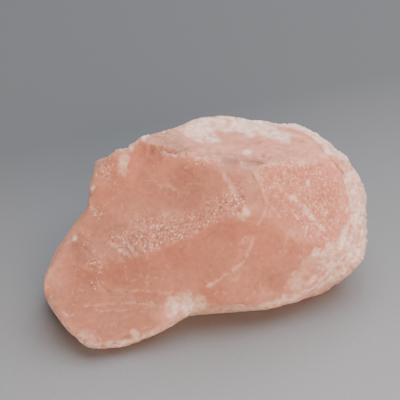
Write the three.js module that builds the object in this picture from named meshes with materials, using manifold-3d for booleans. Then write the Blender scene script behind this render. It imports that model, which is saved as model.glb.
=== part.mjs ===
// Morganite crystal: one broken piece of cloudy pink beryl, as it sits on a shelf.
// Lengths in millimetres, angles in degrees, +Z up, the flat broken base at Z = 0.
//
// Two lumps make the stone: the main mass and the low toe on its left. Each is a
// block cut by fracture planes, broken again along the ridges of its far side, and
// hollowed by shell-shaped bites, the way beryl breaks. The lumps are joined, and
// the whole is cut flat underneath.

import * as THREE from 'three';
import * as BufferGeometryUtils from 'three/addons/utils/BufferGeometryUtils.js';
import Module from 'manifold-3d';

// ---------------------------------------------------------------- main sizes
const HEART_X = -0.78;       // the point inside the stone that distances start from
const HEART_Y = -0.97;
const HEART_Z = 12.0;        // height of the heart over the resting face
const BLOCK = 120;           // rough block that the planes cut down
const BITE_STEP = 1.15;      // length of a mesh edge in a named bite
const CHIP_STEP = 1.5;       // length of a mesh edge in a small chip

// ------------------------------------------------- fracture planes of the main mass
// name, azimuth and tilt of the outward direction, distance from the heart
const MAIN_PLANES = [
  ['left flank', 155, 15, 17.1],
  ['left shoulder', 139, 31, 16.9],
  ['left brow', 110, 48, 13.9],
  ['back left brow', 85, 54, 14.1],
  ['back brow', 60, 55, 14.8],
  ['right back brow', 28, 49, 18.2],
  ['right brow', 13, 42, 19.9],
  ['right shoulder', -6, 29, 22.6],
  ['right end', -27, 7, 23.6],
  ['right corner', -35, -2, 23.9],
  ['right low corner', -50, -18, 22.6],
  ['right heel', -68, -32, 19.0],
  ['under right', -89, -41, 15.4],
  ['under front', -104, -43, 14.0],
  ['top', 30, 82, 10.6],
  ['lower window', -112, 25, 7.75],
  ['right face', -92, 20, 9.4],
  ['right slope', -72, 42, 10.4],
  ['wedge', -121, 53, 7.6],
  ['back wall', 95, 6, 14.5],
  ['back right', 45, 0, 19.5],
  ['under back', 80, -42, 15.0],
  ['under back right', 10, -38, 21.5],
  ['under left', 170, -35, 16.0],
];

// ---------------------------------------------------- fracture planes of the toe
const TOE_PLANES = [
  ['toe upper', 137, 31, 13.8],
  ['toe upper left', 147, 24, 16.4],
  ['toe left', 163, 9, 21.5],
  ['toe tip', 178, -6, 24.4],
  ['toe low left', -166, -20, 24.9],
  ['toe corner', -146, -32, 23.7],
  ['toe front', -126, -39, 21.5],
  ['toe bottom', -103, -42, 17.5],
  ['toe under', -80, -39, 13.0],
  ['toe right', -68, -36, 10.9],
  ['toe slope', -104, 53, 1.5],
  ['toe inner', -40, 20, 5.0],
  ['toe behind', 30, 5, 6.0],
  ['toe low back', 75, -30, 10.0],
  ['toe back', 105, 8, 10.0],
  ['toe top', 60, 70, 5.0],
  ['toe under left', 165, -40, 24.0],
];

// --------------------------------------------------- shell-shaped bites, by name
// name, azimuth, tilt and distance of the deepest point, azimuth and tilt the
// hollow faces, radius across it, azimuth and tilt of its long way, stretch that
// way, and how far its surface swells and dips
const MAIN_BITES = [
  ['upper scallop', 178, 36, 7.8, -129, 47, 24, -13, 18, 1.6, 0],
  ['lower window dish', -139, 0, 9.1, -112, 25, 60, -13, 8, 1.7, 0],
  ['right window', -57, -3, 11.7, -92, 20, 24, -80, -60, 1.35, 0.04],
  ['slope ledge', -39, 15, 12.9, -72, 42, 16, -40, -46, 1.6, 0.05],
  ['right rim hollow', -11, 11, 21.0, -50, 40, 8, -40, -60, 2.2, 0.12],
  ['right low hollow', -27, -3, 21.25, -65, 25, 8, -50, -60, 1.8, 0.12],
  ['top pit left', -20, 72, 10.0, -100, 60, 2.2, -10, 10, 1.6, 0.08],
  ['top pit right', -20, 56, 11.75, -80, 60, 2.4, -10, 5, 1.8, 0.08],
  ['right notch', 2, 19, 21.2, 20, 40, 2.5, -60, 30, 1.5, 0.08],
  ['back left step', 95, 40, 13.4, 100, 50, 5, 10, 0, 1.6, 0.15],
  ['brow step', 108, 34, 14.0, 115, 40, 3, 20, 0, 1.4, 0.12],
  ['heel step', -39, -16, 21.6, -70, -30, 4, 10, 0, 1.5, 0.12],
];
const TOE_BITES = [
  ['toe dish', -158, -18, 21.2, -104, 53, 40, 10, 0, 1.4, 0],
  ['toe chip', -143, -27, 19.6, -100, 15, 2.0, -20, 10, 1.3, 0.1],
  ['toe far chip', -145, -25, 21.9, -110, 0, 2.0, -20, 10, 1.3, 0.1],
];

// ------------------------------------------------------------ rough broken skin
// Flat breaks cut across the ridges of the far side, then many shallow bites are
// spread evenly over all the rough sides.
// directions tried, depth of each break from and to
const FAR_BREAKS = [90, 0.5, 1.3];
const FAR_SIDE = [72, -30];          // azimuth and tilt of the way the far side faces
const FAR_REACH = 0.52;              // how nearly a break must face that way
// spots tried, radius from and to, depth from and to, lean and unevenness of each bite
const MAIN_CHIPS = [110, 9, 18, 0.2, 0.55, 0.2, 0.11];
const TOE_CHIPS = [160, 6, 12, 0.1, 0.3, 0.1, 0.08];
const SPREAD = [1, 0.62, 0.52];      // length, depth and height of the stone, as shares
const SMOOTH_SIDE = [-105, 35];      // the smooth windows face this way, unchipped
const SMOOTH_REACH = 0.72;           // how nearly a face must face that way to be smooth

// ---------------------------------------------------------------- small tools
const wasm = await Module();
wasm.setup();

const TURN = Math.PI / 180;
const fraction = (x) => x - Math.floor(x);

function facing(azimuth, tilt) {
  const flat = Math.cos(tilt * TURN);
  const x = Math.cos(azimuth * TURN) * flat;
  const y = Math.sin(azimuth * TURN) * flat;
  return new THREE.Vector3(x, y, Math.sin(tilt * TURN));
}

// Point number i of a set spread evenly over a ball.
function evenly(i, count) {
  const z = 1 - 2 * (i + 0.5) / count;
  const turn = 2.399963 * i;
  const flat = Math.sqrt(1 - z * z);
  return new THREE.Vector3(Math.cos(turn) * flat, Math.sin(turn) * flat, z);
}

function toSolid(geometry) {
  const shape = geometry.clone();
  shape.deleteAttribute('normal');
  shape.deleteAttribute('uv');
  const merged = BufferGeometryUtils.mergeVertices(shape, 1e-5);
  return new wasm.Manifold(new wasm.Mesh({
    numProp: 3,
    vertProperties: new Float32Array(merged.getAttribute('position').array),
    triVerts: new Uint32Array(merged.getIndex().array),
  }));
}

// ------------------------------------------------------------- planes and bites
const asPlane = ([, azimuth, tilt, distance]) => ({ normal: facing(azimuth, tilt), distance });

// A block whose underside lies on the plane, ready to be cut away.
function beyond(plane) {
  const box = new THREE.BoxGeometry(2 * BLOCK, 2 * BLOCK, BLOCK);
  box.translate(0, 0, BLOCK / 2 + plane.distance);
  const turn = new THREE.Quaternion();
  turn.setFromUnitVectors(new THREE.Vector3(0, 0, 1), plane.normal);
  box.applyQuaternion(turn);
  return toSolid(box);
}

// Broken stone is never an exact bowl: three crossing waves swell and dip it.
function makeUneven(geometry, centre, amount) {
  const points = geometry.getAttribute('position');
  for (let i = 0; i < points.count; i += 1) {
    const point = new THREE.Vector3().fromBufferAttribute(points, i);
    const wave = Math.sin(1.1 * point.x + 0.5 * point.z)
      + Math.sin(1.4 * point.y - 0.6 * point.x + 1)
      + Math.sin(1.7 * point.z + 0.5 * point.y + 2);
    const outward = point.clone().sub(centre).normalize();
    point.addScaledVector(outward, amount * wave);
    points.setXYZ(i, point.x, point.y, point.z);
  }
}

// An egg that touches the deepest point, with its long way along the surface.
function hollow(deepest, normal, radius, along, stretch, uneven, step) {
  const way = along.clone().addScaledVector(normal, -along.dot(normal)).normalize();
  const across = new THREE.Vector3().crossVectors(normal, way);
  const detail = Math.max(3, Math.round(radius * 1.1 / step) - 1);
  const egg = new THREE.IcosahedronGeometry(radius, detail);
  egg.scale(stretch, 1, 1);
  egg.applyMatrix4(new THREE.Matrix4().makeBasis(way, across, normal));
  const centre = deepest.clone().addScaledVector(normal, radius);
  egg.translate(centre.x, centre.y, centre.z);
  makeUneven(egg, centre, uneven);
  return toSolid(egg);
}

function namedBite([, azimuth, tilt, distance, face, lean, radius, way, rise, stretch, uneven]) {
  const deepest = facing(azimuth, tilt).multiplyScalar(distance);
  return hollow(deepest, facing(face, lean), radius, facing(way, rise), stretch, uneven, BITE_STEP);
}

// ------------------------------------------------------------------- chip sets
function nearestPlane(direction, planes) {
  let reach = 1e9;
  let normal = null;
  for (const plane of planes) {
    const slant = direction.dot(plane.normal);
    if (slant > 0 && plane.distance / slant < reach) {
      reach = plane.distance / slant;
      normal = plane.normal;
    }
  }
  return { reach, normal };
}

function chipSet(planes, others, [count, fromR, toR, fromDeep, toDeep, twist, uneven]) {
  const smooth = facing(...SMOOTH_SIDE);
  const chips = [];
  for (let i = 0; i < count; i += 1) {
    const spot = evenly(i, count);
    spot.multiply(new THREE.Vector3(...SPREAD)).normalize();
    const { reach, normal } = nearestPlane(spot, planes);
    const covered = nearestPlane(spot, others).reach > reach + 0.5;
    const onSmooth = normal.dot(smooth) > SMOOTH_REACH;
    const steep = normal.dot(spot) < 0.62;
    const onBase = reach * spot.z < 1 - HEART_Z;
    if (covered || onSmooth || steep || onBase) continue;
    const sway = new THREE.Vector3(Math.sin(2.4 * i), Math.sin(3.7 * i + 1), Math.sin(5.1 * i + 2));
    const face = normal.clone().addScaledVector(sway, twist).normalize();
    const way = new THREE.Vector3(Math.sin(1.3 * i), Math.sin(2.9 * i + 2), Math.sin(4.3 * i + 4));
    const radius = fromR + (toR - fromR) * fraction(i * 0.618);
    const depth = fromDeep + (toDeep - fromDeep) * fraction(i * 0.414);
    const stretch = 1 + 0.8 * fraction(i * 0.732);
    const deepest = spot.clone().multiplyScalar(reach - depth);
    chips.push(hollow(deepest, face, radius, way, stretch, uneven, CHIP_STEP));
  }
  return chips;
}

// ------------------------------------------------------------- the whole stone
// How far the solid reaches in a direction.
function reachOf(solid, direction) {
  const { vertProperties } = solid.getMesh();
  let reach = -1e9;
  for (let i = 0; i < vertProperties.length; i += 3) {
    const corner = new THREE.Vector3().fromArray(vertProperties, i);
    reach = Math.max(reach, corner.dot(direction));
  }
  return reach;
}

function breakFarSide(whole) {
  const [count, fromDeep, toDeep] = FAR_BREAKS;
  const far = facing(...FAR_SIDE);
  let solid = whole;
  for (let i = 0; i < count; i += 1) {
    const normal = evenly(i, count);
    if (normal.dot(far) < FAR_REACH) continue;
    const depth = fromDeep + (toDeep - fromDeep) * fraction(i * 0.618);
    const distance = reachOf(solid, normal) - depth;
    solid = solid.subtract(beyond({ normal, distance }));
  }
  return solid;
}

function lump(planes, bites) {
  let solid = toSolid(new THREE.BoxGeometry(BLOCK, BLOCK, BLOCK));
  for (const plane of planes) solid = solid.subtract(beyond(plane));
  solid = breakFarSide(solid);
  for (const bite of bites) solid = solid.subtract(bite);
  return solid;
}

function stoneGeometry() {
  const mainPlanes = MAIN_PLANES.map(asPlane);
  const toePlanes = TOE_PLANES.map(asPlane);
  const mainBites = MAIN_BITES.map(namedBite);
  const toeBites = TOE_BITES.map(namedBite);
  const main = lump(mainPlanes, mainBites.concat(chipSet(mainPlanes, toePlanes, MAIN_CHIPS)));
  const toe = lump(toePlanes, toeBites.concat(chipSet(toePlanes, mainPlanes, TOE_CHIPS)));
  const ground = asPlane(['base', 0, -90, HEART_Z]);
  const mesh = main.add(toe).subtract(beyond(ground)).getMesh();
  const geometry = new THREE.BufferGeometry();
  geometry.setAttribute('position', new THREE.BufferAttribute(mesh.vertProperties, 3));
  geometry.setIndex(new THREE.BufferAttribute(mesh.triVerts, 1));
  geometry.translate(HEART_X, HEART_Y, HEART_Z);
  geometry.computeVertexNormals();
  return geometry;
}

const part = new THREE.Group();
part.name = 'morganite_crystal_part';
const stone = new THREE.Mesh(
  stoneGeometry(),
  new THREE.MeshStandardMaterial({ color: 0xc98f7c, roughness: 0.45, metalness: 0 }),
);
stone.name = 'morganite_crystal';
part.add(stone);

export default part;
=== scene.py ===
"""A rough morganite crystal, a palm-sized piece of cloudy pink beryl, on a plain pale floor."""

import math

import bmesh
import bpy
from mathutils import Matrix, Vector, noise


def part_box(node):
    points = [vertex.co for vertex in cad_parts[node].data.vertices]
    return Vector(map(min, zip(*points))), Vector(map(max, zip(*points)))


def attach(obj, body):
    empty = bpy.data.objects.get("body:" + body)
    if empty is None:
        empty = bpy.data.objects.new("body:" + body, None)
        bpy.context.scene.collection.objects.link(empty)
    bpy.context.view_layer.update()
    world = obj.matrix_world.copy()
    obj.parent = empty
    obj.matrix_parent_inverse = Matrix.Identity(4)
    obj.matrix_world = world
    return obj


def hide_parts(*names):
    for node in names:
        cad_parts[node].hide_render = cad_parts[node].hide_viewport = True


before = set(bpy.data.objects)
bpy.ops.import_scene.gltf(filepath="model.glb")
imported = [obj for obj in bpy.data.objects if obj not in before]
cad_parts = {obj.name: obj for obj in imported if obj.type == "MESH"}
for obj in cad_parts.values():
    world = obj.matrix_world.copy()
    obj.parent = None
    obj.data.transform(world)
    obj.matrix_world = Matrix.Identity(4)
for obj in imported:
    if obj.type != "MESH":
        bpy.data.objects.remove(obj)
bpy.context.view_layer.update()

# ---------------------------------------------------------------- the broken stone
# One natural piece of cloudy pink beryl, knocked off a larger crystal. Its windows are smooth
# shell-shaped breaks, its ledges are crushed and sparkle, and its top and right end keep the
# whitish weathered rind. It lies loose on its flat base.
MM = 0.001
GRAIN = 0.232 * MM  # edge of the finest face, small enough for the chips
noise.seed_set(7)  # so that the flakes lean the same way each time


def facing(azimuth, tilt):
    """The direction with this azimuth and this tilt above level, in degrees."""
    turn, rise = math.radians(azimuth), math.radians(tilt)
    flat = math.cos(rise)
    return Vector((flat * math.cos(turn), flat * math.sin(turn), math.sin(rise)))


def rising(low, high, value):
    """0 at low, 1 at high, and a smooth rise between them."""
    share = min(1.0, max(0.0, (value - low) / (high - low)))
    return share * share * (3 - 2 * share)


def grainy(place, size, octaves=4):
    """Natural unevenness with lumps of about this size in mm, mostly from -1 to 1."""
    return noise.fractal(place / size, 1.0, 2.0, octaves)


def shards(place, size):
    """Flat broken facets of about this size in mm, each at its own height and lean, -1 to 1."""
    corner = noise.voronoi(place / size)[1][0]
    lean = noise.noise_vector(corner * 7.3)
    return 0.7 * noise.noise(corner * 5.1) + (place / size - corner).dot(lean)


def bent(place):
    """The place shifted a little, so that the edges of facets aren't quite straight."""
    return place + 0.4 * noise.noise_vector(place / 1.6)


def patches(place, spots, ragged):
    """How far inside any of these patches a place is, with a ragged border."""
    depth = 0.0
    for x, y, z, radius in spots:
        far = (place - Vector((x, y, z))).length / radius + ragged
        depth = max(depth, rising(1.2, 0.6, far) if far < 1.2 else 0.0)
    return depth


def line_at(place, lines):
    """How close this is to one of these lines: 1 on it, 0 past its uneven width."""
    near = 0.0
    for width, points in lines.values():
        for start, end in zip(points, points[1:]):
            start, along = Vector(start), Vector(end) - Vector(start)
            if (place - start).length > along.length + 1.5:
                continue
            share = min(1.0, max(0.0, (place - start).dot(along) / along.length_squared))
            far = (place - start - share * along).length
            uneven = width * (1.4 + 0.7 * grainy(place, 0.8))
            near = max(near, min(1.0, width / 0.4) * rising(uneven, 0.0, far))
    return near


HEART = Vector((-0.78, -0.97, 12.0))  # the point inside the stone, in mm, that depths start from
VIEW = facing(-110, 40)  # the broken front faces this way, and so does the camera

# the weathered rind: layers round the right end, patches on the top and front, broken rims,
# and the whole of the back and the underside, whitened there partly as a painted bounce light
END_HEART = Vector((7.5, -2.5, 13.0))  # the layers of the right end lie round this, in mm
END_AT = 13.2  # and start this far from it
LAYER = 0.8  # thickness of each layer in mm
# centre in mm and radius of each chalkier patch of the rind
CHALK = [
    (17.8, -10.8, 10.2, 1.9),
    (18.7, -12.1, 8.0, 2.4),
    (14.2, -12.3, 9.4, 1.9),
    (12.7, -12.0, 10.5, 0.9),
    (20.4, -8.4, 12.2, 1.7),
    (20.3, -10.6, 9.4, 1.7),
    (15.2, -13.2, 7.0, 1.8),
]
# centre in mm and radius of each soft-edged whitish patch
FROST = [
    (1.5, 6.8, 21.7, 2.0),
    (2.8, 8.4, 21.5, 1.9),
    (2.8, 4.4, 21.4, 1.5),
    (5.6, 8.4, 21.0, 1.5),
    (7.2, 6.9, 21.0, 1.7),
    (8.8, 6.4, 20.7, 2.3),
    (11.4, 5.4, 20.6, 2.6),
    (12.8, 3.4, 20.5, 1.8),
    (-8.2, -10.8, 5.6, 1.5),
    (-6.2, -11.3, 5.8, 1.5),
]
# centre in mm and radius of each faint patch
FADED = [
    (11.5, -12.8, 8.6, 2.0),
    (9.6, -13.2, 7.0, 1.7),
    (-10.1, 5.0, 20.5, 1.0),
    (-10.4, 4.3, 19.6, 0.9),
]
# points in mm along each pale broken rim, and its width; the foot and toe rims on the shaded
# lower edges are partly a painted bounce light
RIMS = {
    "foot": (1.00, [
        (-4.0, -11.6, 4.0), (0.3, -12.5, 3.8), (4.9, -13.9, 4.2), (9.4, -14.0, 4.6),
        (12.6, -13.9, 5.2), (15.7, -13.7, 6.1)]),
    "toe": (0.62, [
        (-21.9, -9.0, 3.4), (-20.1, -11.3, 2.4), (-16.9, -12.1, 2.5), (-14.1, -12.3, 2.8),
        (-11.0, -12.7, 3.4), (-7.5, -12.7, 4.2)]),
    "top left": (0.40, [(-6.8, 6.0, 22.9), (-5.6, 7.0, 22.8), (-4.6, 7.6, 22.7)]),
    "top": (0.70, [
        (0.6, 9.2, 21.7), (3.5, 9.6, 21.3), (7.1, 9.2, 20.7), (10.9, 7.7, 20.6),
        (15.6, 5.7, 19.9), (17.4, 3.9, 19.9), (18.4, 0.9, 19.9)]),
}
# how white each of them is, 0 to 1
END_WHITE, END_WHITER = 0.45, 0.46  # near the floor, and how much more higher up
CHALK_WHITE, FROST_WHITE, FADED_WHITE, RIM_WHITE = 0.85, 0.74, 0.42, 0.90
# the underside's whiteness is partly a painted bounce light in its shade
BACK_WHITE, UNDER_WHITE_AND_BOUNCE = 0.60, 0.75


def from_end(place):
    """How far this lies past the start of the weathered end, in mm."""
    return (place - END_HEART).length - END_AT if place.x > 10.0 else -9.0


def rind_at(place, normal):
    """How chalky and weathered the stone is here, 0 to 1."""
    ragged = grainy(place, 1.8)
    # the end is whiter from 5 to 8 mm up
    end = rising(-0.2, 0.3, from_end(place) + 0.35 * ragged)
    end *= END_WHITE + END_WHITER * rising(5.0, 8.0, place.z + ragged)
    # chalk and faded patches have broken edges, and frost has soft ones
    crumbly = 0.4 * grainy(place, 0.8)
    chalky = CHALK_WHITE * patches(place, CHALK, 0.45 * shards(place, 1.4) + crumbly)
    frosty = FROST_WHITE * patches(place, FROST, 0.55 * grainy(place, 1.5))
    faint = FADED_WHITE * patches(place, FADED, 0.5 * shards(place, 1.2) + crumbly)
    # the back begins where the surface turns from the front, and the underside from the sky; the
    # underside is whitened partly as a painted bounce light in its shade
    back = BACK_WHITE * rising(-0.05, -0.35, normal.dot(VIEW) + 0.2 * ragged)
    underside_and_bounce = UNDER_WHITE_AND_BOUNCE * rising(0.08, -0.2, normal.z + 0.1 * ragged)
    rim = RIM_WHITE * line_at(place, RIMS)
    return max(end, chalky, frosty, faint, back, underside_and_bounce, rim)


# the crushed stone that sparkles: a ledge below the upper hollow, the upper part of the right
# slope, and some patches
LEDGE_RIM = facing(-112, 25)  # the lower window, under the ledge, faces this way
LEDGE_AT = 7.75  # and lies this far from the heart, in mm
LEDGE_WAY = facing(-129, 50)  # the hollow that ends in the ledge faces this way
LEDGE_HIGH, LEDGE_WIDER = 2.4, 1.3  # height of the ledge in mm, and how much more at its left
SLOPE_WAY = facing(-72, 42)  # the right slope faces this way
SLOPE_FOOT = Vector((8.4, -7.0, 17.1))  # its crushed part ends along a line through this, in mm
SLOPE_SIDE = Vector((0.84, 0.16, 0.52))  # and lies on this side of it
SLOPE_SPARK, PATCH_SPARK = 0.85, 0.80  # how much the slope and the patches sparkle, 0 to 1
# centre in mm and radius of each crushed patch away from the ledge and the slope
CRUSHED = [
    (-17.3, -4.2, 10.5, 1.1),
    (-16.8, -4.7, 9.7, 0.7),
    (-17.7, -5.1, 8.4, 1.0),
    (-19.6, -2.8, 9.1, 0.7),
    (-13.2, -2.3, 12.8, 1.7),
    (-15.4, 1.6, 15.0, 1.2),
    (-18.6, -0.6, 12.0, 0.9),
    (-0.6, -0.2, 21.8, 1.3),
    (-12.9, 5.4, 19.2, 1.8),
    (-4.2, 5.4, 22.5, 1.0),
    (2.3, -10.0, 14.3, 0.8),
    (16.0, -12.3, 9.6, 4.5),
]


def past_foot(place, ragged):
    """1 on the crushed upper part of the right slope, 0 below its foot, with a ragged border."""
    return rising(-1.2, 0.4, (place - SLOPE_FOOT).dot(SLOPE_SIDE) + ragged)


def by_end(place, ragged):
    """1 on the smooth pale strip of the slope beside the weathered end, 0 away from it."""
    return rising(-2.8, -1.2, from_end(place) + ragged)


def spark_at(place, normal):
    """How crushed and sparkling the surface is here, 0 to 1."""
    ragged = 0.7 * grainy(place, 2.5)
    # the ledge is about 2 mm high above the rim of the lower window, and wider at its left
    above_rim = LEDGE_AT - (place - HEART).dot(LEDGE_RIM)
    wider = LEDGE_WIDER * rising(-3.0, -9.0, place.x)
    ledge = rising(LEDGE_HIGH, 1.1, above_rim - wider + ragged)
    # it lies only on the hollow, ends at the wedge on its right and thins out on its left
    ledge *= rising(0.93, 0.96, normal.dot(LEDGE_WAY)) * rising(4.0, 2.8, place.x)
    ledge *= rising(10.2, 11.2, place.z) * (0.1 + 0.9 * rising(-14.0, -9.5, place.x + ragged))
    # the slope sparkles less below its foot and beside the weathered end
    slope = SLOPE_SPARK * rising(0.8, 0.93, normal.dot(SLOPE_WAY)) * rising(4.0, 8.0, place.x)
    slope *= 0.15 + 0.85 * past_foot(place, 0.6 * grainy(place, 2.6))
    slope *= 1.0 - 0.5 * by_end(place, 0.3 * ragged)
    crushed = PATCH_SPARK * patches(place, CRUSHED, 0.7 * grainy(place, 1.4))
    return max(ledge, slope, crushed)


# the clouds in the stone: milky and pale on the top, the slope, the back and the underside,
# and deeper where it is clear, with painted shade where faces turn up to the light
# centre in mm and radius of each paler cloud
MILKY = [
    (14.0, -2.0, 19.6, 6.0),
    (-8.8, -10.9, 5.0, 2.4),
    (-9.6, 4.0, 19.8, 2.4),
    (6.4, -10.4, 13.2, 4.0),
    (11.6, -13.2, 7.2, 3.4),
]
# centre in mm and radius of each deeper cloud; on the top and the wedge they are partly
# a painted shade where faces turn up to the light
DEEP_AND_SHADE_SPOTS = [
    (-13.7, -5.7, 10.0, 4.2),
    (-21.0, -6.0, 6.0, 4.0),
    (-14.8, -9.6, 4.6, 5.6),
    (-15.6, -1.2, 12.6, 4.2),
    (-11.4, -4.2, 12.4, 2.2),
    (-17.4, -4.4, 10.0, 2.2),
    (-6.0, 3.6, 21.6, 2.2),
    (-3.2, 3.6, 22.3, 2.4),
    (3.4, -2.2, 22.0, 2.4),
    (6.6, -3.2, 21.4, 1.8),
    (10.8, -3.4, 21.0, 1.8),
    (-18.2, -1.6, 11.6, 2.0),
    (-3.0, -1.6, 18.6, 3.4),
    (6.2, -12.2, 7.2, 1.4),
    (-17.8, -3.0, 10.8, 1.8),
    (-4.6, 5.0, 22.4, 3.0),
    (-2.0, 4.4, 21.9, 1.9),
    (4.6, -3.6, 21.2, 2.0),
    (3.9, -6.4, 19.6, 1.6),
]
# centre in mm and radius of each painted shade: the deep colour laid on faces turned up to the
# light
PAINTED_SHADE_SPOTS = [
    (-6.4, 4.6, 22.6, 1.4),
    (-4.6, 4.2, 22.4, 2.0),
    (-2.5, 3.6, 21.9, 1.9),
    (-0.9, 2.6, 21.9, 1.3),
    (-18.6, -0.2, 12.2, 1.6),
    (-18.2, -2.4, 11.0, 1.4),
    (-13.0, -4.4, 11.9, 1.0),
]
# how milky each of them is, 0 to 1, and the share of the deep colour in the deeper clouds and in
# the painted shade
TOP_MILK, SLOPE_MILK, UNDER_MILK_AND_BOUNCE, BACK_MILK, PATCH_MILK = 0.50, 0.55, 0.60, 0.50, 0.50
DEEPER, PAINTED_SHADE_SHARE = 0.45, 0.40


def over_top(place):
    """How far this is past the brow, in mm, into the weathered top."""
    return 0.6 * place.y + 0.8 * place.z + 0.29 * place.x - 18.3


def milk_at(place, normal):
    """How milky and pale the stone is here, 0 to 1."""
    ragged = 1.5 * grainy(place, 2.6)
    # the top is milky past the brow, but not at its left
    top = TOP_MILK * rising(-0.9, 0.6, over_top(place) + ragged)
    top *= rising(-2.0, 0.0, place.x + 0.4 * ragged)
    # the slope is milkier above its foot, and most beside the weathered end
    slope = SLOPE_MILK * rising(0.75, 0.93, normal.dot(SLOPE_WAY))
    slope *= rising(5.0, 9.0, place.x + ragged)
    slope *= 0.35 + 0.65 * past_foot(place, 0.4 * ragged)
    slope *= 1.0 + 0.7 * by_end(place, 0.2 * ragged)
    # the underside is paler: milky stone, and partly a painted bounce light in its shade
    underside_and_bounce = UNDER_MILK_AND_BOUNCE * rising(0.1, -0.4, normal.z)
    back = BACK_MILK * rising(0.0, -0.3, normal.dot(VIEW))
    return max(top, slope, underside_and_bounce, back, PATCH_MILK * patches(place, MILKY, 0.35 * ragged))


def deep_and_shade_at(place):
    """How deep the colour is here, 0 to 1: the clear stone's deeper tone, and a painted shade on
    faces turned up to the light.
    """
    deeper = DEEPER * patches(place, DEEP_AND_SHADE_SPOTS, 0.4 * grainy(place, 3.0))
    return deeper + PAINTED_SHADE_SHARE * patches(place, PAINTED_SHADE_SPOTS, 0.5 * grainy(place, 1.5))


# the marks of its knocks, all on the front
# centre in mm and radius of each whitened bruise
BRUISES = [
    (-6.7, -10.9, 5.9, 1.5),
    (-5.0, -11.7, 5.7, 1.2),
    (-14.3, -11.5, 3.3, 0.6),
    (-16.9, -12.1, 2.7, 0.5),
    (-10.2, 4.8, 20.2, 0.5),
    (-8.9, 5.4, 22.0, 0.45),
    (-15.1, 4.6, 17.2, 0.5),
    (-19.0, 0.9, 11.9, 0.35),
    (2.9, -8.6, 18.0, 0.6),
    (-3.1, -11.0, 8.4, 0.5),
    # this small bruise is a painted glint, a highlight drawn in cream
    (1.5, -0.2, 21.9, 0.36),
    (6.7, 0.3, 21.1, 0.55),
    (12.1, -8.3, 15.3, 0.75),
    (13.0, -9.0, 14.2, 0.4),
    (13.6, -5.5, 17.8, 0.5),
    (7.1, -13.7, 5.3, 0.45),
]
# points in mm along each healed crack, and its width
CRACKS = {
    "slope ledge": (0.38, [
        (10.0, -6.9, 17.4), (11.0, -7.2, 16.8), (11.7, -7.8, 15.9), (12.2, -8.0, 15.5),
        (12.3, -8.5, 14.9), (13.0, -9.0, 14.3)]),
    "ledge head": (0.22, [(7.9, -5.6, 19.3), (9.4, -6.6, 17.9), (10.2, -6.9, 17.3)]),
    "ledge tail": (0.28, [(13.0, -9.0, 14.3), (13.4, -9.6, 13.5), (14.4, -10.2, 12.6)]),
    "slope fork": (0.20, [(7.0, -6.5, 18.8), (8.5, -5.8, 19.3), (9.4, -6.3, 18.3)]),
    "right arm": (0.26, [
        (5.7, -4.7, 21.3), (6.3, -6.0, 19.8), (6.4, -6.9, 18.7), (6.5, -7.7, 17.5),
        (5.4, -8.9, 16.9), (4.4, -9.4, 16.0)]),
    "left arm": (0.26, [(1.4, -2.7, 21.2), (1.9, -4.8, 20.1), (2.2, -6.8, 18.9)]),
    "knot": (0.25, [(2.2, -8.5, 17.8), (2.6, -9.2, 16.8)]),
    "stem": (0.28, [
        (3.6, -9.9, 14.2), (2.9, -10.5, 12.7), (1.9, -11.0, 11.3), (0.3, -11.2, 10.5),
        (-1.2, -11.1, 9.6), (-3.0, -11.1, 8.3)]),
    "window tick": (0.18, [(8.5, -10.4, 13.3), (7.9, -10.9, 11.6), (7.0, -11.0, 11.0)]),
    "slope tick": (0.28, [(7.1, -8.0, 17.2), (7.7, -8.4, 16.6), (7.9, -8.8, 15.9)]),
    "toe streak": (0.18, [
        (-19.9, -6.8, 6.1), (-16.6, -7.6, 6.1), (-13.3, -8.5, 6.1), (-10.8, -9.7, 5.7)]),
    "low streak": (0.14, [(-18.2, -7.9, 5.6), (-14.2, -9.1, 5.5)]),
    "window flick": (0.18, [(9.3, -10.6, 13.4), (10.2, -11.3, 11.8)]),
    "scallop crack": (0.20, [
        (-6.8, 1.0, 18.3), (-5.9, 0.4, 18.2), (-5.1, -0.1, 18.3), (-4.6, -0.9, 18.1)]),
    "scallop tick": (0.22, [(-2.7, 0.6, 20.8), (-2.1, -0.2, 20.4)]),
    "scallop thread": (0.13, [(-3.4, -0.9, 18.8), (-1.2, -2.4, 19.4)]),
    "scallop nick": (0.14, [(-4.9, -2.0, 17.0), (-4.3, -1.8, 17.6)]),
    "left thread": (0.16, [(-13.0, 3.9, 17.4), (-11.2, 2.2, 16.4)]),
    "left glint": (0.18, [(-10.8, -1.9, 13.9), (-10.1, -3.0, 13.7)]),
    "patch ridge": (0.22, [(-10.2, -8.9, 6.9), (-8.1, -9.4, 7.3), (-6.2, -10.4, 7.0)]),
    "toe tick": (0.18, [(-14.8, -6.9, 7.2), (-14.3, -7.2, 6.9), (-13.9, -7.3, 7.0)]),
    "toe crease": (0.14, [
        (-18.2, -6.3, 6.6), (-15.4, -7.2, 6.7), (-12.5, -8.3, 6.6), (-10.1, -9.9, 5.7)]),
    "fan low": (0.28, [(-14.6, -2.4, 12.2), (-13.7, -3.7, 11.9), (-12.9, -4.9, 11.8)]),
    "fan high": (0.24, [(-13.5, -1.7, 13.0), (-12.8, -3.1, 12.5), (-12.2, -4.4, 12.1)]),
    "window foot": (0.14, [(-16.4, -6.1, 7.5), (-12.3, -7.7, 7.3), (-8.3, -9.4, 7.1)]),
}
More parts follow.
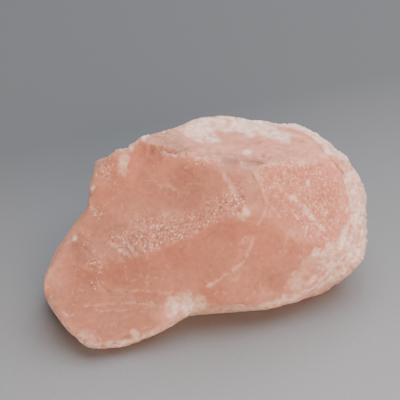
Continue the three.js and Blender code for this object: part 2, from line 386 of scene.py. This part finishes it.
# points in mm along each crease and pit, and its width; each is darkened with a painted shade
SHADED_CREASES = {
    "left fan": (0.20, [(-12.2, -2.6, 12.9), (-12.0, -4.1, 12.4), (-11.9, -4.7, 12.1)]),
    "left rib": (0.16, [
        (-14.6, -1.9, 12.4), (-13.8, -2.5, 12.4), (-13.1, -3.2, 12.3), (-12.5, -4.4, 12.0)]),
    "joint": (0.15, [(-18.8, -0.4, 12.0), (-17.7, -2.0, 11.3), (-17.5, -3.6, 10.4)]),
    "toe nick": (0.18, [(-17.0, -5.7, 7.8), (-16.2, -6.6, 7.0)]),
    "wide pit": (0.80, [(2.6, -1.4, 22.0), (3.6, -2.0, 22.0)]),
    "right pit": (0.95, [(5.7, -3.0, 21.6), (7.2, -3.1, 21.5)]),
    "small pit": (0.35, [(9.2, -1.8, 21.1), (9.7, -2.0, 21.0)]),
    "top hollow": (0.35, [(3.0, 5.6, 21.2), (3.5, 5.0, 21.1)]),
    "top cleft": (0.25, [(6.2, 7.2, 20.9), (7.4, 5.6, 20.7), (8.3, 4.6, 20.7)]),
    "top seam": (0.22, [
        (8.3, 2.6, 20.7), (10.5, 1.6, 20.6), (12.5, 0.5, 20.5), (14.0, 0.3, 20.4)]),
    "top smudge": (0.30, [(15.4, 1.3, 20.1), (15.9, 1.1, 20.1)]),
    "right arm shade": (0.18, [(5.2, -4.8, 21.2), (5.8, -6.3, 19.8), (5.9, -7.8, 18.0)]),
    "left arm shade": (0.15, [(2.2, -3.6, 20.9), (3.0, -6.4, 19.4), (3.5, -8.4, 18.0)]),
    "flake foot": (0.22, [
        (18.4, -2.4, 19.3), (19.2, -3.5, 18.0), (20.4, -3.7, 16.5), (20.8, -4.6, 15.4)]),
}


def marks_at(place, normal, stands_proud):
    """Each kind of mark at this place, mostly 0 to 1, by its name."""
    shown = rising(-0.2, 0.2, normal.dot(VIEW))
    chipped = 0.5 * shards(bent(place), 0.75) + 0.45 * grainy(place, 0.7)
    layered = rising(-0.1, 0.2, from_end(place)) * layer_step(place)
    return {
        "rind": rind_at(place, normal),
        "bruise": 0.85 * patches(place, BRUISES, chipped),
        "milk": milk_at(place, normal),
        "spark": spark_at(place, normal),
        "edge": rising(0.01, 0.07, stands_proud),
        "crack": shown * line_at(place, CRACKS) if shown else 0.0,
        "shaded_crease": shown * line_at(place, SHADED_CREASES) if shown else 0.0,
        "deep_and_shade": deep_and_shade_at(place),
        "layer": layered - 0.5 * patches(place, CHALK, 0.5 * grainy(place, 1.8)),
    }


# its relief in mm: wide and small lumps, flakes and crumbs of the broken faces, crushed grains,
# layers of the end, and what cracks and creases add or take away
LUMP, RIPPLE = 0.10, 0.05
FLAKE, SPLINTER, CRUMB = 0.22, 0.16, 0.10
GRIT = 0.04
PLATE, CHIP, LAYER_DROP, END_DROP = 0.12, 0.10, 0.24, 0.30
CREASE_CUT, CRACK_RISE, BROW_CUT = 0.20, 0.05, 0.50
# centre in mm, radius, and how far the surface stands out or in there, in mm
SWELLS = [
    (18.9, -1.3, 19.5, 1.4, -0.7),
    (-3.6, 7.2, 22.6, 0.8, -0.4),
    (-5.0, -12.6, 3.4, 0.9, -0.4),
    (-13.9, 7.0, 20.2, 1.6, -0.6),
    (-14.8, 5.6, 18.0, 2.4, 0.5),
    (-10.4, 7.0, 21.6, 2.2, 0.5),
    (-6.6, 7.6, 22.8, 2.6, 0.5),
    (19.6, -12.1, 7.2, 2.2, 0.5),
    (-21.4, -10.6, 2.7, 2.0, 0.5),
]


def layer_step(place):
    """How far through the thickness of its layer this lies, 0 to 1, on the weathered end."""
    return (from_end(place) + 0.3 * grainy(place, 2.6)) / LAYER % 1.0


def relief_at(place, normal, mark):
    """How far the broken surface stands out here, in mm, with these marks on it."""
    facet_place = bent(place)
    # every face is a little uneven, and rind, top and back are broken into flakes and crumbs
    height = LUMP * grainy(place, 7.0, 2) + RIPPLE * grainy(place, 2.5, 3)
    weathered_top = 0.5 * rising(-0.8, 0.6, over_top(place))
    broken = max(mark["rind"], weathered_top, 0.8 * rising(0.1, -0.2, normal.dot(VIEW)))
    flakes = FLAKE * (shards(facet_place, 1.5) - 0.6) + SPLINTER * shards(facet_place, 0.65)
    height += broken * flakes
    height += broken * (CRUMB * grainy(place, 1.0) - 0.05)
    height += mark["spark"] * GRIT * (shards(place, 0.5) - 0.3)
    # edges are chipped, most where the stone is broken, and the brow is nibbled away
    chips = (0.30 + 0.4 * broken) * rising(0.0, 0.5, grainy(place, 1.0))
    height -= mark["edge"] * (0.03 + chips)
    height -= CREASE_CUT * mark["shaded_crease"]
    height += CRACK_RISE * mark["crack"]
    brow = rising(1.4, 0.0, abs(over_top(place))) * rising(17.0, 19.0, place.z)
    brow *= rising(13.0, 10.0, place.x)
    height -= brow * BROW_CUT * rising(-0.1, 0.5, grainy(place, 2.0))
    # the weathered end breaks off in layers, and the slope beside it lies a little lower
    layers = rising(-0.1, 0.2, from_end(place))
    plates = PLATE * shards(facet_place, 1.3) + CHIP * shards(place, 0.6)
    height += layers * (plates - LAYER_DROP * layer_step(place))
    shown = rising(-0.2, 0.2, normal.dot(VIEW))
    height -= END_DROP * rising(-1.2, -0.2, from_end(place)) * (1.0 - layers) * shown
    for x, y, z, radius, rise in SWELLS:
        height += rise * rising(1.2, 0.0, (place - Vector((x, y, z))).length / radius)
    return height * rising(0.0, 0.8, place.z)


def merged_copy(node, name):
    """A copy of a node's solid with its loose corners joined."""
    mesh = bpy.data.meshes.new(name)
    shell = bmesh.new()
    shell.from_mesh(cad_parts[node].data)
    bmesh.ops.remove_doubles(shell, verts=shell.verts, dist=0.001 * MM)
    shell.to_mesh(mesh)
    shell.free()
    piece = bpy.data.objects.new(name, mesh)
    bpy.context.scene.collection.objects.link(piece)
    return piece


def soften(shell, corners, rounds):
    """Rounds the shell near these corners, a little more each round."""
    for _ in range(rounds):
        bmesh.ops.smooth_vert(
            shell, verts=corners, factor=0.5, use_axis_x=True, use_axis_y=True, use_axis_z=True)


def within(shell, spots):
    """The corners of the shell that lie in one of these patches."""
    return [vert for vert in shell.verts if patches(vert.co / MM, spots, 0.0) > 0.0]


stone = merged_copy("morganite_crystal", "morganite_stone")
evened = stone.modifiers.new("even faces", "REMESH")
evened.mode = "VOXEL"
evened.voxel_size = GRAIN
even = stone.evaluated_get(bpy.context.evaluated_depsgraph_get())
stone.data = bpy.data.meshes.new_from_object(even)
stone.modifiers.clear()

# the sharp fracture edges are worn round, more so where the toe joins the body and along the
# brow, and most on the left shoulder (centre in mm and radius of each such place)
JOINT = [
    (-18.6, -1.0, 11.6, 4.5),
    (-19.2, -4.2, 8.8, 3.6),
    (-16.4, -6.2, 7.4, 3.0),
]
BROW = [
    (-14.2, 6.8, 20.0, 3.6),
    (12.8, -1.0, 20.2, 3.4),
    (16.6, -2.0, 19.6, 2.8),
    (3.7, -6.2, 19.6, 3.0),
    (4.4, -9.6, 15.0, 2.6),
]
SHOULDER = [
    (-14.0, 6.6, 20.0, 2.6),
]
EDGE_ROUNDS, JOINT_ROUNDS, SHOULDER_ROUNDS = 10, 50, 160
skin = bmesh.new()
skin.from_mesh(stone.data)
soften(skin, skin.verts, EDGE_ROUNDS)
soften(skin, within(skin, JOINT), JOINT_ROUNDS)
soften(skin, within(skin, JOINT + BROW), JOINT_ROUNDS)
soften(skin, within(skin, SHOULDER), SHOULDER_ROUNDS)
skin.normal_update()

# what stands proud of a blunter copy of the stone is an edge
BLUNT_ROUNDS = 14  # enough to take about 0.07 mm off an edge
blunt = skin.copy()
soften(blunt, blunt.verts, BLUNT_ROUNDS)
proud = [(was.co - now.co).dot(was.normal) / MM for was, now in zip(skin.verts, blunt.verts)]
blunt.free()

marks = {}
for vert, stands_proud in zip(skin.verts, proud):
    place, normal = vert.co / MM, vert.normal.copy()
    mark = marks_at(place, normal, stands_proud)
    for kind, value in mark.items():
        marks.setdefault(kind, []).append(value)
    vert.co += normal * relief_at(place, normal, mark) * MM

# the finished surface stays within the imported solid's box
low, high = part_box("morganite_crystal")
for vert in skin.verts:
    for axis in range(3):
        vert.co[axis] = min(high[axis], max(low[axis], vert.co[axis]))
skin.normal_update()
skin.to_mesh(stone.data)
skin.free()
for kind, values in marks.items():
    stone.data.attributes.new(kind, "FLOAT", "POINT").data.foreach_set("value", values)
stone.data.shade_smooth()


def colour(hex_code):
    """A colour written as sRGB hex, in the linear values that nodes read."""
    shares = [int(hex_code[digit:digit + 2], 16) / 255 for digit in (1, 3, 5)]
    linear = [
        share / 12.92 if share <= 0.04045 else ((share + 0.055) / 1.055) ** 2.4
        for share in shares
    ]
    return (*linear, 1.0)


def add(tree, kind, settings=None, **links):
    """Adds a node, with its settings, and with its inputs set or linked, by name or as i0, i1."""
    node = tree.nodes.new(kind)
    for key, value in (settings or {}).items():
        setattr(node, key, value)
    for key, value in links.items():
        known = int(key[1:]) if key[0] == "i" and key[1:].isdigit() else key.replace("_", " ")
        if isinstance(value, bpy.types.NodeSocket):
            tree.links.new(value, node.inputs[known])
        else:
            node.inputs[known].default_value = value
    return node


# cloudy morganite, broken by hand: satin salmon windows, crushed ledges and a chalky rind.
# Light sinks into it and comes out again all round, so its shading is soft.
cloudy = bpy.data.materials.new("cloudy_morganite")
cloudy.use_nodes = True
tree = cloudy.node_tree
tree.nodes.clear()
# a Mix node's colours are its inputs 6 and 7 and its output 2, and a Map Range node turns
# values from i1 to i2 into values from i3 to i4
MATH, MIX, RANGE = "ShaderNodeMath", "ShaderNodeMix", "ShaderNodeMapRange"
MARK, NOISE, CELLS = "ShaderNodeAttribute", "ShaderNodeTexNoise", "ShaderNodeTexVoronoi"
VECTORS, SPLIT = "ShaderNodeVectorMath", "ShaderNodeSeparateColor"
TIMES, TIMES_ADD = {"operation": "MULTIPLY"}, {"operation": "MULTIPLY_ADD"}
TINT = {"data_type": "RGBA"}
OVERLAY = {"data_type": "RGBA", "blend_type": "OVERLAY"}
SMOOTH = {"interpolation_type": "SMOOTHSTEP"}
# how wide each of its patterns is on the stone
CLOUD_WIDE, WISP_WIDE, FLECK_WIDE, FLAKE_WIDE = 6.0 * MM, 0.7 * MM, 1.0 * MM, 0.55 * MM
LINES_APART = 0.9 * MM
HAIRS_APART, BEND_WIDE, BEND_FAR = 5.0 * MM, 3.0 * MM, 4.0 * MM
GRAIN_WIDE = 0.21 * MM  # the real grains are finer, and are drawn this coarse to show
CRUMB_WIDE, CRUMB_HIGH = 0.5 * MM, 0.12 * MM
place = add(tree, "ShaderNodeTexCoord").outputs["Object"]
mark = {kind: add(tree, MARK, {"attribute_name": kind}).outputs["Fac"] for kind in marks}
rind, spark, milk = mark["rind"], mark["spark"], mark["milk"]

# the body: soft clouds, deeper here and paler there
clouds = add(tree, NOISE, Vector=place, Scale=1 / CLOUD_WIDE, Detail=4.0).outputs[0]
cloud = add(tree, RANGE, SMOOTH, Value=clouds, i1=0.35, i2=0.65).outputs[0]
body = add(tree, MIX, TINT, i0=cloud, i6=colour("#be7e66"), i7=colour("#c68871")).outputs[2]
# the deep colour: the clear stone's deeper tone, and a painted shade on faces turned up to the
# light
body = add(tree, MIX, TINT, i0=mark["deep_and_shade"], i6=body, i7=colour("#a06a55")).outputs[2]
body = add(tree, MIX, TINT, i0=milk, i6=body, i7=colour("#d88f77")).outputs[2]
# faint lines of trapped bubbles, drawn out six times as long across the front
drawn = add(tree, "ShaderNodeMapping", {"vector_type": "TEXTURE"}, i0=place,
            Rotation=(0.0, 0.0, math.radians(-20)), Scale=(6.0, 1.0, 1.0)).outputs[0]
lines = add(tree, NOISE, Vector=drawn, Scale=1 / LINES_APART, Detail=4.0,
            Distortion=1.2).outputs[0]
line = add(tree, RANGE, SMOOTH, Value=lines, i1=0.60, i2=0.76, i4=0.25).outputs[0]
body = add(tree, MIX, TINT, i0=line, i6=body, i7=colour("#dc9a82")).outputs[2]
# specks and wisps, a little lighter or darker
wisps = add(tree, NOISE, Vector=place, Scale=1 / WISP_WIDE, Detail=6.0,
            Roughness=0.65).outputs[0]
wisp = add(tree, RANGE, Value=wisps, i1=0.2, i2=0.8, i3=0.36, i4=0.64).outputs[0]
body = add(tree, MIX, OVERLAY, i0=0.8, i6=body, i7=wisp).outputs[2]
# worn ridges, bruised a little paler
worn = add(tree, MATH, TIMES, i0=mark["edge"], i1=0.2).outputs[0]
body = add(tree, MIX, TINT, i0=worn, i6=body, i7=colour("#daa08b")).outputs[2]
# hairline cracks where bent cells meet, seen only here and there
bends = add(tree, NOISE, Vector=place, Scale=1 / BEND_WIDE, Detail=2.0).outputs["Color"]
swing = add(tree, VECTORS, {"operation": "SCALE"}, i0=bends, Scale=BEND_FAR).outputs[0]
swung = add(tree, VECTORS, {"operation": "ADD"}, i0=place, i1=swing).outputs[0]
hairs = add(tree, CELLS, {"feature": "DISTANCE_TO_EDGE"}, Vector=swung,
            Scale=1 / HAIRS_APART).outputs["Distance"]
hair = add(tree, RANGE, SMOOTH, Value=hairs, i1=0.022, i2=0.0, i4=0.45).outputs[0]
here = add(tree, RANGE, SMOOTH, Value=wisps, i1=0.48, i2=0.60).outputs[0]
hair = add(tree, MATH, TIMES, i0=hair, i1=here).outputs[0]
body = add(tree, MIX, TINT, i0=hair, i6=body, i7=colour("#e6bfae")).outputs[2]
# the larger healed cracks, broken into dashes
dash = add(tree, RANGE, SMOOTH, Value=wisps, i1=0.36, i2=0.54, i4=0.9).outputs[0]
healed = add(tree, MATH, TIMES, i0=mark["crack"], i1=dash).outputs[0]
body = add(tree, MIX, TINT, i0=healed, i6=body, i7=colour("#e9baa4")).outputs[2]
# where a crack runs through crushed stone, some of its flakes get a painted highlight
painted_shine = add(tree, MATH, TIMES, i0=healed, i1=spark).outputs[0]
painted_shine = add(tree, RANGE, SMOOTH, Value=painted_shine, i1=0.20, i2=0.60).outputs[0]
flakes = add(tree, CELLS, Vector=place, Scale=1 / FLAKE_WIDE).outputs["Color"]
flake = add(tree, SPLIT, Color=flakes).outputs[0]
shine = add(tree, RANGE, SMOOTH, Value=flake, i1=0.35, i2=0.65, i4=0.85).outputs[0]
painted_shine = add(tree, MATH, TIMES, i0=painted_shine, i1=shine).outputs[0]
body = add(tree, MIX, TINT, i0=painted_shine, i6=body, i7=colour("#f8ddcd")).outputs[2]
# bruises, crushed to an even cream
cream = add(tree, MIX, TINT, i0=wisps, i6=colour("#d6aa93"), i7=colour("#f1d5c2")).outputs[2]
body = add(tree, MIX, TINT, i0=mark["bruise"], i6=body, i7=cream).outputs[2]
# the weathered rind, chalky white with pink showing through in flecks, more so towards the
# foot of each layer
flecks = add(tree, NOISE, Vector=place, Scale=1 / FLECK_WIDE, Detail=8.0,
             Roughness=0.62).outputs[0]
layered = add(tree, MATH, TIMES_ADD, i0=mark["layer"], i1=-0.15, i2=flecks).outputs[0]
crumbly = add(tree, MATH, TIMES_ADD, i0=flake, i1=0.26, i2=layered).outputs[0]
fleck = add(tree, RANGE, Value=crumbly, i1=0.45, i2=0.79).outputs[0]
chalk = add(tree, MIX, TINT, i0=fleck, i6=colour("#dda893"), i7=colour("#f8e0d4")).outputs[2]
body = add(tree, MIX, TINT, i0=rind, i6=body, i7=chalk).outputs[2]
# pits and creases, darkened with a painted shade
crease_shade = add(tree, MATH, TIMES, i0=mark["shaded_crease"], i1=0.85).outputs[0]
body = add(tree, MIX, TINT, i0=crease_shade, i6=body, i7=colour("#8f5a45")).outputs[2]
# crushed grains, each a little lighter or darker, with some paler flakes among them, a few
# grains with a painted glint and a very few dark ones
grains = add(tree, CELLS, Vector=place, Scale=1 / GRAIN_WIDE)
shade = add(tree, SPLIT, Color=grains.outputs["Color"]).outputs
grey = add(tree, RANGE, Value=shade[0], i3=0.34, i4=0.62).outputs[0]
grit = add(tree, MATH, TIMES, i0=spark, i1=0.85).outputs[0]
body = add(tree, MIX, OVERLAY, i0=grit, i6=body, i7=grey).outputs[2]
pale = add(tree, RANGE, SMOOTH, Value=flake, i1=0.80, i2=0.96, i4=1.0).outputs[0]
pale = add(tree, MATH, TIMES, i0=pale, i1=milk).outputs[0]
pale = add(tree, MATH, TIMES, i0=pale, i1=spark).outputs[0]
body = add(tree, MIX, TINT, i0=pale, i6=body, i7=colour("#eec0aa")).outputs[2]
bright = add(tree, RANGE, SMOOTH, Value=shade[1], i1=0.82, i2=1.0, i4=0.8).outputs[0]
painted_glint = add(tree, MATH, TIMES, i0=bright, i1=spark).outputs[0]
dark = add(tree, RANGE, SMOOTH, Value=shade[2], i1=0.9975, i2=1.0, i4=0.6).outputs[0]
body = add(tree, MIX, TINT, i0=dark, i6=body, i7=colour("#7d4c3c")).outputs[2]
surface = add(tree, MIX, TINT, i0=painted_glint, i6=body, i7=colour("#f5c7b0")).outputs[2]

# each crushed grain leans its own way, and the rind is finely crumbled
normal = add(tree, "ShaderNodeNewGeometry").outputs["Normal"]
lean = add(tree, VECTORS, {"operation": "SUBTRACT"}, i0=grains.outputs["Color"],
           i1=(0.5, 0.5, 0.5)).outputs[0]
leaning = add(tree, MATH, TIMES, i0=spark, i1=0.5).outputs[0]
tilt = add(tree, VECTORS, {"operation": "SCALE"}, i0=lean, Scale=leaning).outputs[0]
leant = add(tree, VECTORS, {"operation": "ADD"}, i0=normal, i1=tilt).outputs[0]
leant = add(tree, VECTORS, {"operation": "NORMALIZE"}, i0=leant).outputs[0]
crumbs = add(tree, NOISE, Vector=place, Scale=1 / CRUMB_WIDE, Detail=5.0).outputs[0]
depth = add(tree, RANGE, Value=rind, i3=0.12, i4=0.7).outputs[0]
crumbled = add(tree, "ShaderNodeBump", Height=crumbs, Distance=CRUMB_HIGH, Strength=depth,
               Normal=leant).outputs[0]
# satin where it broke clean and dull on the rind, which lets less light in
dull = add(tree, RANGE, Value=rind, i3=0.36, i4=0.7).outputs[0]
sunk = add(tree, RANGE, Value=rind, i3=0.70, i4=0.30).outputs[0]
shader = add(tree, "ShaderNodeBsdfPrincipled", {"subsurface_method": "RANDOM_WALK"},
             Base_Color=surface, Roughness=dull, Normal=crumbled, IOR=1.58,
             Specular_IOR_Level=0.3, Subsurface_Weight=sunk, Subsurface_Scale=9.0 * MM,
             Subsurface_Radius=(1.0, 0.72, 0.6), Sheen_Weight=0.22, Sheen_Roughness=0.5,
             Sheen_Tint=colour("#f2bda6"))
add(tree, "ShaderNodeOutputMaterial", Surface=shader.outputs[0])

stone.data.materials.append(cloudy)
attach(stone, "root")
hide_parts("morganite_crystal")

# ------------------------------------------------------------------------ the floor
# A plain pale matt board, far wider than the view, that carries the stone on its flat
# base. It is painted a little darker away from the front, a painted fall-off of the light.
FLOOR_HALF = 3000 * MM
FADE_FROM, FADE_TO = -50 * MM, 40 * MM  # the paint darkens over this stretch, front to back
TOOTH_WIDE = 0.4 * MM

floor_mesh = bpy.data.meshes.new("floor")
slab = bmesh.new()
bmesh.ops.create_grid(slab, x_segments=1, y_segments=1, size=FLOOR_HALF)
slab.to_mesh(floor_mesh)
slab.free()
floor = bpy.data.objects.new("floor", floor_mesh)
bpy.context.scene.collection.objects.link(floor)
# matt painted board: a faint tooth and no gloss
board = bpy.data.materials.new("matt_pale_board")
board.use_nodes = True
tree = board.node_tree
tree.nodes.clear()
place = add(tree, "ShaderNodeTexCoord").outputs["Object"]
away = add(tree, VECTORS, {"operation": "DOT_PRODUCT"}, i0=place, i1=facing(90, 0)).outputs[1]
# painted fall-off of light: the paint darkens from front to back
painted_falloff = add(tree, RANGE, Value=away, i1=FADE_FROM, i2=FADE_TO).outputs[0]
paint = add(tree, MIX, TINT, i0=painted_falloff, i6=colour("#939496"), i7=colour("#57595b")).outputs[2]
tooth = add(tree, NOISE, Vector=place, Scale=1 / TOOTH_WIDE, Detail=2.0).outputs[0]
speck = add(tree, RANGE, Value=tooth, i3=0.44, i4=0.56).outputs[0]
paint = add(tree, MIX, OVERLAY, i0=1.0, i6=paint, i7=speck).outputs[2]
shader = add(tree, "ShaderNodeBsdfPrincipled", Base_Color=paint, Roughness=0.75)
add(tree, "ShaderNodeOutputMaterial", Surface=shader.outputs[0])
floor_mesh.materials.append(board)

# ----------------------------------------------------------------- light and camera
# One wide soft light, high over the stone's right end like a window, with a warmer one from
# the front and a small one from the left to fill its shade. The room around is an even grey.
AIM = Vector((-0.38, 0.56, 13.88)) * MM
LAMP_FAR = 500 * MM
VIEW_FAR = 144 * MM


def soft_light(name, way, wide, watts, tone):
    """A round soft light this wide, in metres, that shines at the stone from this way."""
    lamp = bpy.data.lights.new(name, "AREA")
    lamp.shape = "DISK"
    lamp.size = wide
    lamp.energy = watts
    lamp.color = colour(tone)[:3]
    holder = bpy.data.objects.new(name, lamp)
    holder.location = AIM + way * LAMP_FAR
    holder.rotation_euler = way.to_track_quat("Z", "Y").to_euler()
    bpy.context.scene.collection.objects.link(holder)


soft_light("window light", facing(25, 67), 0.8, 7.4, "#f5f9ff")
soft_light("side fill", facing(172, 22), 0.35, 0.6, "#fff2ea")
soft_light("front fill", facing(-88, 26), 0.36, 2.7, "#ffd3b6")
room = bpy.data.worlds.new("grey room")
room.use_nodes = True
grey_light = room.node_tree.nodes["Background"].inputs
grey_light["Color"].default_value = colour("#c8ccd0")
grey_light["Strength"].default_value = 0.15
bpy.context.scene.world = room

lens = bpy.data.cameras.new("camera")
lens.lens = 90
lens.sensor_width = 36
lens.clip_start = 0.01
camera = bpy.data.objects.new("camera", lens)
camera.location = AIM + VIEW * VIEW_FAR
camera.rotation_euler = VIEW.to_track_quat("Z", "Y").to_euler()
bpy.context.scene.collection.objects.link(camera)
bpy.context.scene.camera = camera
